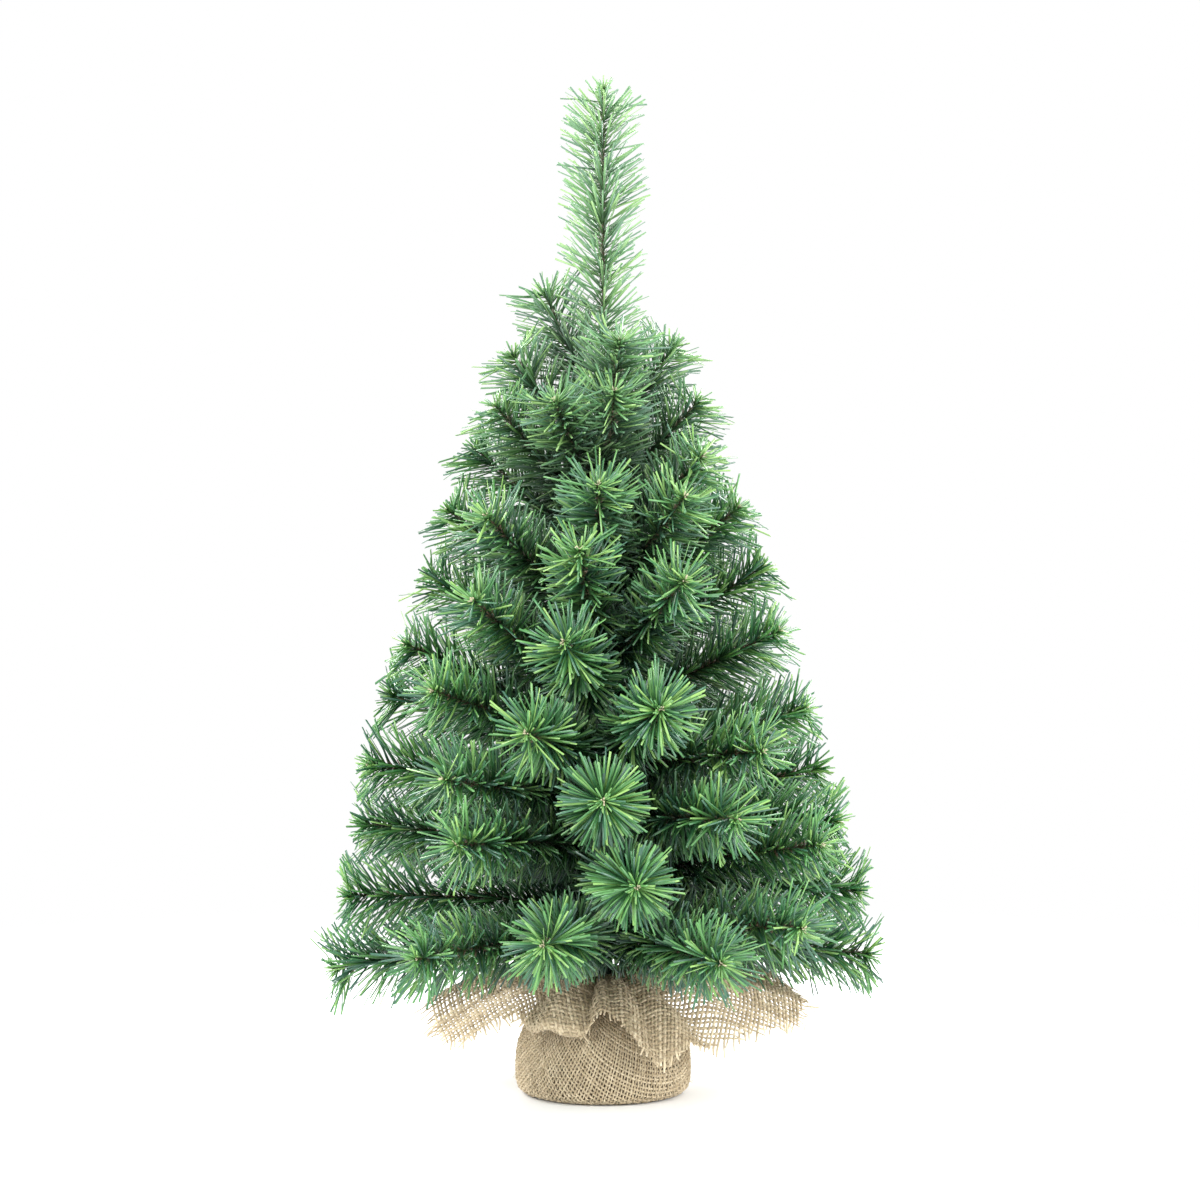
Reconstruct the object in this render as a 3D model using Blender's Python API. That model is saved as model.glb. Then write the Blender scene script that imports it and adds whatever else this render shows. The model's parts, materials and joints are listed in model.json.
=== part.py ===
"""Artificial tabletop tree: wire tips with PVC needles, bound to a steel trunk in a burlap-wrapped base.

Frame: metres, +Z up, origin at the centre of the flat underside, front towards -Y.
Azimuths are in degrees from the front, positive towards +X.
Every branch is built around the point where its wire bends at the trunk, which is its origin.
"""

import math

import bmesh
import bpy
from mathutils import Vector

MM = 0.001
GAP = 0.3 * MM

# Base
BASE_SEGMENTS = 32
CLOTH_SEGMENTS = 42
CLOTH = 2.0 * MM
WEIGHT_RADIUS = 47.0 * MM
WEIGHT_BOTTOM = 4.0 * MM
WEIGHT_TOP = 42.0 * MM
WEIGHT_SHOULDER = 14.0 * MM
CUP_WALL = 1.4 * MM
CUP_TOP = 26.0 * MM
BOTTOM_ROUNDING = 8.0 * MM
CLOTH_RADIUS = 52.0 * MM
NECK_RADIUS = 9.5 * MM
NECK_LOW = 63.2 * MM
NECK_HIGH = 67.0 * MM
TIE_THICKNESS = 1.3 * MM

# Trunk
ROD_RADIUS = 1.6 * MM
ROD_BOTTOM = 14.0 * MM
ROD_TOP = 404.0 * MM
TAPE_RADIUS_LOW = 4.4 * MM
TAPE_RADIUS_HIGH = 3.0 * MM

# Branches
LEADER_TOP = 596.0 * MM
BEND_RADIUS = 1.6 * MM
WIRE_RADIUS = 1.2 * MM
CORE_RADIUS = 2.6 * MM
TIP_RADIUS = 1.3 * MM
CORE_FROM = 0.5
CORE_TO = 0.88
BARE_TO = 0.26
TWIST_LENGTH = 7.0 * MM
TWIST_RADIUS = 1.56 * MM
FORK_LENGTH = 7.2 * MM
BOW = 0.05
STRAIGHT_TIP = 250

# Outline, in millimetres: how far a tip is from the trunk's axis at its height
WIDEST_REACH = 160.0
LOWEST_TIP = 78.0
TAPER = 0.169
TAPER_GROWTH = 0.000376
LEAN = 4.5
LEAN_FROM = 140
LEAN_FULL = 200

# Rise of a branch above the horizontal by the height of its tip, as (millimetres, degrees)
RISE_BY_HEIGHT = (
    (73, -7), (82, -3), (92, 2), (110, 4), (125, 3), (160, 4), (190, 8), (230, 14), (270, 24),
    (310, 32), (350, 36), (380, 39), (410, 45), (440, 53), (476, 63),
)

# Tips as (azimuth, height in millimetres). Two tips in one entry share a folded wire.
TIERS = (
    (  # tier 1
        ((-88, 73),), ((-41, 94), (-12, 106)), ((24, 95), (46, 110)), ((92, 80),),
        ((117, 82), (153, 90)), ((-171, 84), (-135, 80)),
    ),
    (  # tier 2
        ((-80, 119),), ((-34, 157),), ((7, 137),), ((59, 153), (84, 120)),
        ((110, 132), (146, 140)), ((178, 134), (-146, 128)), ((-118, 146), (-96, 157)),
    ),
    (  # tier 3
        ((-85, 195),), ((-40, 192),), ((0, 183), (32, 171)), ((76, 163), (100, 190)),
        ((132, 178), (164, 184)), ((-160, 176), (-127, 186)),
    ),
    (  # tier 4
        ((-93, 235),), ((-50, 241),), ((-19, 219), (15, 232)), ((44, 207), (78, 228)),
        ((118, 222), (152, 232)), ((-172, 226), (-136, 234)),
    ),
    (  # tier 5
        ((-76, 266),), ((-42, 292), (-11, 269)), ((72, 274),), ((122, 270), (158, 276)),
        ((-149, 272),),
    ),
    (  # tier 6
        ((-98, 307),), ((-8, 320), (27, 303)), ((86, 312),), ((138, 308), (174, 314)),
        ((-132, 312),),
    ),
    (  # tier 7
        ((-86, 345),), ((-46, 340),), ((-2, 357), (34, 351)), ((74, 346),),
        ((112, 348), (148, 352)), ((-156, 350),),
    ),
    (  # tier 8
        ((-98, 383),), ((-66, 405),), ((-25, 406), (6, 412)), ((52, 375),), ((80, 410),),
        ((128, 388), (164, 396)), ((-142, 392),),
    ),
    (  # tier 9
        ((-78, 437),), ((-108, 476),), ((12, 442),), ((100, 444),), ((172, 440),),
    ),
)

# Edge of the burlap skirt as (azimuth, radius, height), both in millimetres
SKIRT_EDGE = (
    (-170, 100, 34), (-141, 68, 46), (-114, 92, 54), (-95, 110, 50), (-78, 100, 27),
    (-56, 62, 40), (-38, 62, 47), (-14, 62, 43), (3, 56, 55), (24, 72, 26), (46, 74, 33),
    (70, 96, 31), (84, 120, 36), (97, 127, 52), (113, 112, 60), (138, 68, 48), (164, 90, 40),
)
SKIRT_STEPS = (0.14, 0.32, 0.5, 0.68, 0.84, 1.0)
SKIRT_LIFT = 7.0 * MM
SKIRT_DROOP = 1.3


def clear_scene():
    for item in list(bpy.data.objects):
        bpy.data.objects.remove(item, do_unlink=True)


def material(name, colour, roughness, metallic=0.0):
    """A plain Principled material."""
    made = bpy.data.materials.new(name)
    made.use_nodes = True
    shader = made.node_tree.nodes["Principled BSDF"]
    shader.inputs["Base Color"].default_value = (*colour, 1.0)
    shader.inputs["Roughness"].default_value = roughness
    shader.inputs["Metallic"].default_value = metallic
    return made


def add_object(name, mesh_builder, paint, origin=(0.0, 0.0, 0.0)):
    """An object made from a bmesh whose points are measured from the given origin."""
    mesh = bpy.data.meshes.new(name)
    bmesh.ops.recalc_face_normals(mesh_builder, faces=mesh_builder.faces[:])
    mesh_builder.to_mesh(mesh)
    mesh_builder.free()
    mesh.materials.append(paint)
    mesh.shade_smooth()
    mesh.set_sharp_from_angle(angle=math.radians(40))
    item = bpy.data.objects.new(name, mesh)
    item.location = origin
    bpy.context.scene.collection.objects.link(item)
    return item


def arc(centre_r, centre_z, radius, start_deg, end_deg, steps):
    """Points (r, z) on a circle, from one angle to another."""
    points = []
    for i in range(steps + 1):
        angle = math.radians(start_deg + (end_deg - start_deg) * i / steps)
        points.append((centre_r + radius * math.cos(angle), centre_z + radius * math.sin(angle)))
    return points


def bridge(builder, first, second):
    """Quads between two closed rings with the same number of points."""
    count = len(first)
    for i in range(count):
        j = (i + 1) % count
        builder.faces.new((first[i], first[j], second[j], second[i]))


def fan(builder, pole, ring):
    """Triangles from one point to a closed ring."""
    for i in range(len(ring)):
        builder.faces.new((pole, ring[i], ring[(i + 1) % len(ring)]))


def lathe(profile, segments=BASE_SEGMENTS):
    """Turns (r, z) points about Z: a solid if the profile starts and ends at r = 0, otherwise a loop."""
    builder = bmesh.new()
    rings = []
    for r, z in profile:
        if r == 0.0:
            rings.append([builder.verts.new((0.0, 0.0, z))])
            continue
        ring = []
        for i in range(segments):
            angle = 2 * math.pi * i / segments
            ring.append(builder.verts.new((r * math.cos(angle), r * math.sin(angle), z)))
        rings.append(ring)
    for first, second in zip(rings, rings[1:]):
        if len(first) == 1:
            fan(builder, first[0], second)
        elif len(second) == 1:
            fan(builder, second[0], first)
        else:
            bridge(builder, first, second)
    if len(rings[0]) > 1:
        bridge(builder, rings[-1], rings[0])
    return builder


def smooth_loop(points, azimuth):
    """Value between the points (azimuth, a, b) around the full circle, eased from one to the next."""
    ordered = sorted(points)
    wrapped = [(ordered[-1][0] - 360, *ordered[-1][1:]), *ordered, (ordered[0][0] + 360, *ordered[0][1:])]
    for (start, *low), (end, *high) in zip(wrapped, wrapped[1:]):
        if start <= azimuth <= end:
            share = (azimuth - start) / (end - start)
            eased = share * share * (3 - 2 * share)
            return [a + (b - a) * eased for a, b in zip(low, high)]
    return list(ordered[0][1:])


def step_between(points, value):
    """Straight interpolation in a short table of (input, output)."""
    if value <= points[0][0]:
        return points[0][1]
    for (low, a), (high, b) in zip(points, points[1:]):
        if value <= high:
            return a + (b - a) * (value - low) / (high - low)
    return points[-1][1]


def direction(azimuth):
    """Horizontal unit vector at an azimuth from the front."""
    angle = math.radians(azimuth)
    return Vector((math.sin(angle), -math.cos(angle), 0.0))


def build_weight():
    """Cement block with a blind hole in which the trunk rod is cast."""
    hole = ROD_RADIUS + GAP
    rounding = BOTTOM_ROUNDING - 2 * GAP
    profile = [(0.0, ROD_BOTTOM - GAP), (hole, ROD_BOTTOM - GAP), (hole, WEIGHT_TOP)]
    profile += arc(
        WEIGHT_RADIUS - WEIGHT_SHOULDER, WEIGHT_TOP - WEIGHT_SHOULDER, WEIGHT_SHOULDER, 90, 0, 3
    )
    profile += arc(WEIGHT_RADIUS - rounding, WEIGHT_BOTTOM + rounding, rounding, 0, -90, 3)
    profile.append((0.0, WEIGHT_BOTTOM))
    add_object("base_weight", lathe(profile), material("cement", (0.42, 0.41, 0.39), 0.9))


def build_cup():
    """Shallow plastic cup that the cement block stands in."""
    inner_r = WEIGHT_RADIUS + GAP
    outer_r = inner_r + CUP_WALL
    inner_floor = WEIGHT_BOTTOM - GAP
    outer_floor = inner_floor - CUP_WALL
    profile = [(0.0, outer_floor)]
    profile += arc(outer_r - BOTTOM_ROUNDING, outer_floor + BOTTOM_ROUNDING, BOTTOM_ROUNDING, -90, 0, 3)
    profile.append((outer_r, CUP_TOP))
    profile.append((inner_r, CUP_TOP))
    inner_rounding = BOTTOM_ROUNDING - CUP_WALL
    profile += arc(inner_r - inner_rounding, inner_floor + inner_rounding, inner_rounding, 0, -90, 3)
    profile.append((0.0, inner_floor))
    add_object("base_cup", lathe(profile), material("cup_plastic", (0.05, 0.05, 0.05), 0.5))


def pot_profile():
    """Outer side of the cloth from the underside's centre to the top of the gathered neck."""
    rounding = BOTTOM_ROUNDING
    profile = [(0.0, 0.0), (24.0 * MM, 0.0)]
    profile += arc(CLOTH_RADIUS - rounding, rounding, rounding, -90, 0, 3)
    profile += [
        (52.4 * MM, 16.0 * MM),
        (52.0 * MM, 24.0 * MM),
        (50.8 * MM, 31.0 * MM),
        (48.2 * MM, 37.5 * MM),
        (44.0 * MM, 43.5 * MM),
        (37.5 * MM, 49.0 * MM),
        (28.5 * MM, 54.0 * MM),
        (19.0 * MM, 58.2 * MM),
        (11.6 * MM, 61.6 * MM),
        (NECK_RADIUS, NECK_LOW),
        (NECK_RADIUS, NECK_HIGH),
        (11.5 * MM, 69.0 * MM),
    ]
    return profile


def build_burlap():
    """Square of burlap around the base: flat underside, gathered neck, skirt of four hanging corners."""
    builder = bmesh.new()
    profile = pot_profile()
    flare_r, flare_z = profile[-1]
    rings = []
    for r, z in profile[1:]:
        ring = []
        for i in range(CLOTH_SEGMENTS):
            azimuth = 360 * i / CLOTH_SEGMENTS - 180
            ring.append(builder.verts.new(direction(azimuth) * r + Vector((0, 0, z))))
        rings.append(ring)
    for step in SKIRT_STEPS:
        ring = []
        for i in range(CLOTH_SEGMENTS):
            azimuth = 360 * i / CLOTH_SEGMENTS - 180
            edge_r, edge_z = smooth_loop(SKIRT_EDGE, azimuth)
            r = flare_r + (edge_r * MM - flare_r) * step
            lift = SKIRT_LIFT * math.sin(math.pi * step)
            z = flare_z + (edge_z * MM - flare_z) * step**SKIRT_DROOP + lift
            ring.append(builder.verts.new(direction(azimuth) * r + Vector((0, 0, z))))
        rings.append(ring)
    fan(builder, builder.verts.new((0, 0, 0)), rings[0])
    for first, second in zip(rings, rings[1:]):
        bridge(builder, first, second)
    item = add_object("burlap_wrap", builder, material("burlap", (0.46, 0.37, 0.24), 0.95))
    mesh = item.data
    if mesh.polygons[0].normal.z > 0:
        mesh.flip_normals()
    thickness = item.modifiers.new("thickness", "SOLIDIFY")
    thickness.thickness = CLOTH
    thickness.offset = -1.0
    thickness.use_rim = True


def build_tie():
    """Ring of jute twine around the neck of the cloth."""
    major = NECK_RADIUS + GAP + TIE_THICKNESS
    middle = (NECK_LOW + NECK_HIGH) / 2
    loop = arc(major, middle, TIE_THICKNESS, 0, -315, 7)
    add_object("neck_tie", lathe(loop, 32), material("twine", (0.36, 0.27, 0.15), 0.9))


def tape_radius(z):
    """Outside radius of the taped trunk, which thins as fewer wires run along it."""
    share = (z - WEIGHT_TOP) / (ROD_TOP - WEIGHT_TOP)
    return TAPE_RADIUS_LOW + (TAPE_RADIUS_HIGH - TAPE_RADIUS_LOW) * share


def build_trunk():
    """Steel rod cast in the weight, and the sleeve of PVC tape that holds the wires to it."""
    rod = [(0.0, ROD_BOTTOM), (ROD_RADIUS, ROD_BOTTOM), (ROD_RADIUS, ROD_TOP), (0.0, ROD_TOP)]
    add_object("trunk_rod", lathe(rod, 16), material("rod_steel", (0.30, 0.30, 0.31), 0.45, 1.0))
    low = WEIGHT_TOP + GAP
    bore = ROD_RADIUS + GAP
    sleeve = [
        (tape_radius(low), low),
        (tape_radius(ROD_TOP), ROD_TOP),
        (bore, ROD_TOP),
        (bore, low),
    ]
    add_object("trunk_tape", lathe(sleeve, 24), material("trunk_pvc", (0.03, 0.07, 0.04), 0.6))


def curve_point(start, middle, end, share):
    """Point on a quadratic curve with its direction there."""
    point = start * (1 - share) ** 2 + middle * (2 * share * (1 - share)) + end * share**2
    along = (middle - start) * (2 * (1 - share)) + (end - middle) * (2 * share)
    return point, along.normalized()


def ring_at(builder, centre, along, radius, angles):
    """Ring of points around a centre. Angle 90 is up and 0 is to the right as seen along the branch."""
    right = along.cross(Vector((0, 0, 1)))
    right = right.normalized() if right.length > 0.05 else Vector((1, 0, 0))
    up = right.cross(along).normalized()
    ring = []
    for angle in angles:
        turn = math.radians(angle)
        offset = right * math.cos(turn) + up * math.sin(turn)
        ring.append(builder.verts.new(centre + offset * radius))
    return ring


def arm_stations(length, start):
    """(distance, radius) along one arm: bare wire, core of packed needle roots, cut end."""
    return (
        (max(start, BARE_TO * length), WIRE_RADIUS * 1.1),
        (CORE_FROM * length, CORE_RADIUS),
        (CORE_TO * length, CORE_RADIUS),
        (length - 1.0 * MM, TIP_RADIUS),
    )


def add_arm(builder, first_ring, tip, bow, angles, start):
    """Continues a tube from its first ring to a tip, both measured from the bend."""
    root = Vector((0, 0, 0))
    length = tip.length
    middle = tip * 0.5 + Vector((0, 0, bow))
    previous = first_ring
    for distance, radius in arm_stations(length, start):
        centre, along = curve_point(root, middle, tip, distance / length)
        ring = ring_at(builder, centre, along, radius, angles)
        bridge(builder, previous, ring)
        previous = ring
    fan(builder, builder.verts.new(tip), previous)


def add_bend(builder, along, angles):
    """Rounded end of the wire where it bends at the trunk. Returns the ring where the wire leaves it."""
    pole = builder.verts.new(along * -BEND_RADIUS)
    previous = ring_at(builder, along * (-0.6 * BEND_RADIUS), along, 0.8 * BEND_RADIUS, angles)
    fan(builder, pole, previous)
    for distance, radius in ((0.15, 0.99), (0.9, 0.8)):
        ring = ring_at(builder, along * (distance * BEND_RADIUS), along, radius * BEND_RADIUS, angles)
        bridge(builder, previous, ring)
        previous = ring
    return previous


def single_branch(tip, bow):
    """One tip on one wire."""
    builder = bmesh.new()
    angles = [90 + 60 * i for i in range(6)]
    _, along = curve_point(Vector((0, 0, 0)), tip * 0.5 + Vector((0, 0, bow)), tip, 0.0)
    add_arm(builder, add_bend(builder, along, angles), tip, bow, angles, 0.0)
    return builder


def twin_branch(left_tip, right_tip, bow):
    """Two tips on one folded wire, twisted together near the trunk and then forked.

    Left and right are as seen from the trunk along the branch.
    """
    builder = bmesh.new()
    angles = [90 + 45 * i for i in range(8)]
    along = (left_tip.normalized() + right_tip.normalized()).normalized()
    bend = add_bend(builder, along, angles)
    fork = ring_at(builder, along * TWIST_LENGTH, along, TWIST_RADIUS, angles)
    bridge(builder, bend, fork)
    crotch = builder.verts.new(along * (TWIST_LENGTH + WIRE_RADIUS))
    left_ring = [*fork[0:5], crotch]
    right_ring = [*fork[4:8], fork[0], crotch]
    start = TWIST_LENGTH + FORK_LENGTH
    add_arm(builder, left_ring, left_tip, bow, [90, 135, 180, 225, 270, 0], start)
    add_arm(builder, right_ring, right_tip, bow, [270, 315, 0, 45, 90, 180], start)
    return builder


def reach(azimuth, height_mm):
    """Distance of a tip from the trunk's axis. The tree's outline leans to the left above its skirt."""
    above = max(height_mm - LOWEST_TIP, 0.0)
    outline = WIDEST_REACH - TAPER * above - TAPER_GROWTH * above**2
    leaning = min(max((height_mm - LEAN_FROM) / (LEAN_FULL - LEAN_FROM), 0.0), 1.0)
    return (outline - LEAN * leaning * math.sin(math.radians(azimuth))) * MM


def bend_point(tips):
    """Where the wire bends: on the taped trunk, at the height that gives the branch its rise."""
    azimuth = sum(a for a, _ in unwrapped(tips)) / len(tips)
    height = sum(h for _, h in tips) / len(tips)
    rise = math.radians(step_between(RISE_BY_HEIGHT, height))
    z = height * MM - (reach(azimuth, height) - TAPE_RADIUS_LOW) * math.tan(rise)
    r = tape_radius(z) + GAP + BEND_RADIUS
    return direction(azimuth) * r + Vector((0, 0, z))


def unwrapped(tips):
    """The tips with azimuths on one side of the back, so that a pair across it averages correctly."""
    if max(a for a, _ in tips) - min(a for a, _ in tips) > 180:
        return [(a % 360, h) for a, h in tips]
    return list(tips)


def build_branches():
    needles = material("needle_green", (0.06, 0.20, 0.07), 0.55)
    for tier_number, tier in enumerate(TIERS, start=1):
        for place, tips in enumerate(tier):
            bend = bend_point(tips)
            ends = [direction(a) * reach(a, h) + Vector((0, 0, h * MM)) - bend for a, h in unwrapped(tips)]
            bow = BOW * ends[0].length * (1 - tips[0][1] / STRAIGHT_TIP)
            if len(ends) == 1:
                builder = single_branch(ends[0], bow)
            else:
                right_tip, left_tip = ends
                builder = twin_branch(left_tip, right_tip, bow)
            name = "branch_" + str(tier_number) + "abcdefgh"[place]
            add_object(name, builder, needles, bend)


def build_leader():
    """Upright tip that carries the trunk on above the last tier."""
    bend = Vector((0, 0, ROD_TOP + GAP + BEND_RADIUS))
    builder = single_branch(Vector((0, 0, LEADER_TOP)) - bend, 0.0)
    add_object("leader", builder, material("leader_green", (0.10, 0.26, 0.09), 0.55), bend)


def main():
    clear_scene()
    build_weight()
    build_cup()
    build_burlap()
    build_tie()
    build_trunk()
    build_branches()
    build_leader()


main()
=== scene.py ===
"""Looks of the artificial tabletop tree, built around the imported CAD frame.

Every branch gets a twisted wire and a brush of cut PVC needles along the line of its CAD solid.
The burlap is woven from separate yarns on the surface of its CAD solid.
Lengths are in metres. Azimuths are measured from the front (-Y), positive towards +X.
"""

import json
import math

import bpy
import numpy as np
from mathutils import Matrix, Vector
from mathutils.bvhtree import BVHTree

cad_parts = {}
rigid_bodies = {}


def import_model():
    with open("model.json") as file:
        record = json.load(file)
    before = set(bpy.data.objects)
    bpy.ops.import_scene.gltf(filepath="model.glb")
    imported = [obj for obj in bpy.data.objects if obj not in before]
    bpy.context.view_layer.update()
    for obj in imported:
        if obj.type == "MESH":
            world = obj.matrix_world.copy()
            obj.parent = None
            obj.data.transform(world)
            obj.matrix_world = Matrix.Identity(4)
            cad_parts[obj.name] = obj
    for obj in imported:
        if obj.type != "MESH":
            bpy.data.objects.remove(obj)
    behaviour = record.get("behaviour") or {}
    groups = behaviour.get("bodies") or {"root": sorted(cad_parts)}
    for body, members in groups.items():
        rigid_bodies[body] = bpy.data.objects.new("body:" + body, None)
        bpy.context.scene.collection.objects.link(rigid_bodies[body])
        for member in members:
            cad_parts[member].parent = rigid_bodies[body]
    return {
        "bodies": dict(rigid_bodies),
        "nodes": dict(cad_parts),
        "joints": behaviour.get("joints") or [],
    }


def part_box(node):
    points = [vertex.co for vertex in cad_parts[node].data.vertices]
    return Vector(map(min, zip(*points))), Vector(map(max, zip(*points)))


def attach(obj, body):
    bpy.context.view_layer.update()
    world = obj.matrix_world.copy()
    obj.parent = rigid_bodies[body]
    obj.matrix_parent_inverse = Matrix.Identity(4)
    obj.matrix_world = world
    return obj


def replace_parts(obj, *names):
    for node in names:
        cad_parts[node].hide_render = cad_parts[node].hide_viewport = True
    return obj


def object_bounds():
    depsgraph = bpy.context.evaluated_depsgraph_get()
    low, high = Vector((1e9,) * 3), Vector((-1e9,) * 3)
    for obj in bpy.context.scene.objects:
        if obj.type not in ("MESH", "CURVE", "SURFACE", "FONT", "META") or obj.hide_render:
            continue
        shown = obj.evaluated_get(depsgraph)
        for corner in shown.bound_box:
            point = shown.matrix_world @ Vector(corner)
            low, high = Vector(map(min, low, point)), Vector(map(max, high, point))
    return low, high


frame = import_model()
CAD_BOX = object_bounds()

MM = 0.001
SEED = 7
UP = np.array([0.0, 0.0, 1.0])
UV_MAP = "OFBake"
WHITE = (1.0, 1.0, 1.0)

# Needles
NEEDLE_LENGTH = 30.0 * MM
NEEDLE_WIDTH = 1.2 * MM
NEEDLE_THICKNESS = 0.3 * MM
NEEDLES_PER_MM = 3.7
FIRST_NEEDLE = 1.0 * MM
LAST_NEEDLE = 1.5 * MM
TIP_ZONE = 16.0 * MM
TIP_OVERHANG = 3.0 * MM
SHORTEST_NEEDLE = 5.0 * MM
SWEEP_DEG = 56.0
SWEEP_SPREAD_DEG = 8.0
SWEEP_AT_TIP_DEG = 15.0
NEEDLE_ROLL = 1.2
NEEDLE_BEND = 0.05
NEEDLE_SLANT = 0.9
BARK_LENGTH = 5.0 * MM
BARK_PER_MM = 0.7
BARK_STARTS = 0.2
BARK_STOPS = 10.0 * MM
TIP_CURLS = 6
TIP_SHORTS = 26
TIP_SHORT_ZONE = 6.0 * MM
TIP_SHORT_LENGTH = 10.0 * MM
LEADER_NEEDLE_LENGTH = 29.5 * MM
LEADER_NEEDLES_PER_MM = 3.4
LEADER_SWEEP_DEG = 59.0
LEADER_OVERHANG = -5.0 * MM

# Places on the needle material's colour ramp: bark below BARK_SHADE, greens from GREEN_SHADE up
BARK_SHADE = 0.07
CURL_SHADE = 0.09
GREEN_SHADE = 0.11

# A strip is a tube of rings of points, each ring with its share of the length and of the width
STRIP_CORNERS = ((1, 1), (-1, 1), (-1, -1), (1, -1))
STRIP_SIDES = len(STRIP_CORNERS)
STRIP_RINGS = ((0.0, 0.75), (0.5, 1.0), (1.0, 0.9))
STRIP_POINTS = STRIP_SIDES * len(STRIP_RINGS)

# How an arm is read from its CAD solid, as shares of its length
MIDDLE_BAND = 0.06
OUTER_FROM = 0.3
FORKED_FROM = 0.1
ARM_SAMPLES = 20

# Wires
WIRE_RADIUS = 0.75 * MM
WIRE_PITCH = 7.0 * MM
WIRE_STEP = 1.3 * MM
WIRE_SIDES = 8
LEADER_WIRE_RADIUS = 1.1 * MM

# Burlap
YARN_PITCH = 2.6 * MM
YARN_THICKNESS = 0.85 * MM
YARN_WAVE = 0.48 * MM
YARN_SIDES = 6
YARN_DRIFT = 0.25 * MM
YARN_DRIFT_LENGTH = 23.0 * MM
YARN_SPACING_ERROR = 0.14 * MM
YARN_SLUB_LENGTH = 5.0 * MM
PHASE_RANGE = 6.3
SAMPLES_PER_PITCH = 4
POT_YARN_WIDTH = 1.12 * MM
POT_GRAIN_DEG = 27.0
SKIRT_YARN_WIDTH = 1.7 * MM
SKIRT_GRAIN_DEG = 6.0
SKIRT_START = 12.0 * MM
SKIRT_REACH = 150.0 * MM
FRINGE = 8.5 * MM
FRINGE_SWAY = 0.16
FRINGE_SAG = 0.18
FRAYED_WIDTH = 0.6
FIBRES = 2500
FOLD_FIBRES = 300
FIBRE_LENGTH = 3.0 * MM
FIBRE_WIDTH = 0.13 * MM
# Heights on the wrapped base, and its rounded foot
WRAP_HEIGHT = 60.0 * MM
WRAP_FLOOR = 2.2 * MM
FOOT_ROUNDING = 3.0 * MM
SKIRT_LOWEST = 26.0 * MM
# The second layer, where the cloth folds back at the front
FOLD_BACK_DEG = (-52, 50)
FOLD_BACK_DROP = 1.7 * MM
FOLD_BACK_MARGIN = 7.0 * MM

# Twine and tape
TWINE_SIDES = 6
TWINE_TURNS = 2
TWINE_SAMPLES = 260
TWINE_PLY_RADIUS = 0.55 * MM
TWINE_PLY_OFFSET = 0.45 * MM
TWINE_TWISTS = 22
TAPE_TURN = 9.0 * MM
TAPE_STEP = 0.9 * MM
TAPE_THICKNESS = 0.35 * MM
TAPE_SIDES = 24

# Studio
FLOOR_HALF = 1.0
FLOOR_DROP = -0.2 * MM
FLOOR_SOLID = 0.30
FLOOR_GONE = 0.95
# Soft lights as (name, place, size, power)
LIGHTS = (
    ("key_left", (-1.5, -1.6, 1.9), 1.4, 72),
    ("fill_right", (1.8, -1.2, 1.2), 1.4, 46),
    ("back_left", (-1.3, 1.4, 1.3), 1.2, 60),
    ("back_right", (1.3, 1.4, 1.3), 1.2, 60),
)
LIGHTS_AIM = (0.0, 0.0, 0.3)
CAMERA_DISTANCE = 1.6
CAMERA_SENSOR = 36.0
# Shares of the tree's height
FRAME_WIDTH = 1.195
CAMERA_SIDE = -0.003
CAMERA_HEIGHT = 0.497
CAMERA_AIM_HEIGHT = 0.489


# ---- materials


def new_material(name, roughness, metallic=0.0):
    """A Principled material with its node tree and shader."""
    made = bpy.data.materials.new(name)
    made.use_nodes = True
    shader = made.node_tree.nodes["Principled BSDF"]
    shader.inputs["Roughness"].default_value = roughness
    shader.inputs["Metallic"].default_value = metallic
    return made, made.node_tree, shader


def add_node(tree, kind, **values):
    """A shader node with its named inputs and properties set."""
    node = tree.nodes.new(kind)
    for key, value in values.items():
        if key in node.inputs:
            node.inputs[key].default_value = value
        else:
            setattr(node, key, value)
    return node


def ramp(tree, source, stops):
    """Colour ramp over a 0 to 1 value."""
    node = tree.nodes.new("ShaderNodeValToRGB")
    band = node.color_ramp
    while len(band.elements) < len(stops):
        band.elements.new(0.5)
    for element, (place, colour) in zip(band.elements, stops):
        element.position = place
        element.color = (*colour, 1.0)
    tree.links.new(source, node.inputs["Fac"])
    return node.outputs["Color"]


def multiply(tree, product, *others):
    """Product of two or more colours."""
    for other in others:
        node = add_node(tree, "ShaderNodeMix", data_type="RGBA", blend_type="MULTIPLY", Factor=1.0)
        tree.links.new(product, node.inputs["A"])
        tree.links.new(other, node.inputs["B"])
        product = node.outputs["Result"]
    return product


def noise(tree, scale, detail=3.0, stretch=None):
    """Noise over the object's own coordinates, optionally stretched along the axes."""
    place = tree.nodes.new("ShaderNodeTexCoord").outputs["Object"]
    if stretch:
        mapping = add_node(tree, "ShaderNodeMapping", Scale=stretch)
        tree.links.new(place, mapping.inputs["Vector"])
        place = mapping.outputs["Vector"]
    node = add_node(tree, "ShaderNodeTexNoise", Scale=scale, Detail=detail, Roughness=0.6)
    tree.links.new(place, node.inputs["Vector"])
    return node.outputs["Fac"]


def bump(tree, shader, height, strength, distance):
    """Feeds a bump into a shader's normal."""
    node = add_node(tree, "ShaderNodeBump", Strength=strength, Distance=distance)
    tree.links.new(height, node.inputs["Height"])
    tree.links.new(node.outputs["Normal"], shader.inputs["Normal"])


def attribute(tree, name):
    """A per-point value of the mesh."""
    return add_node(tree, "ShaderNodeAttribute", attribute_name=name).outputs["Fac"]


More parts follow.
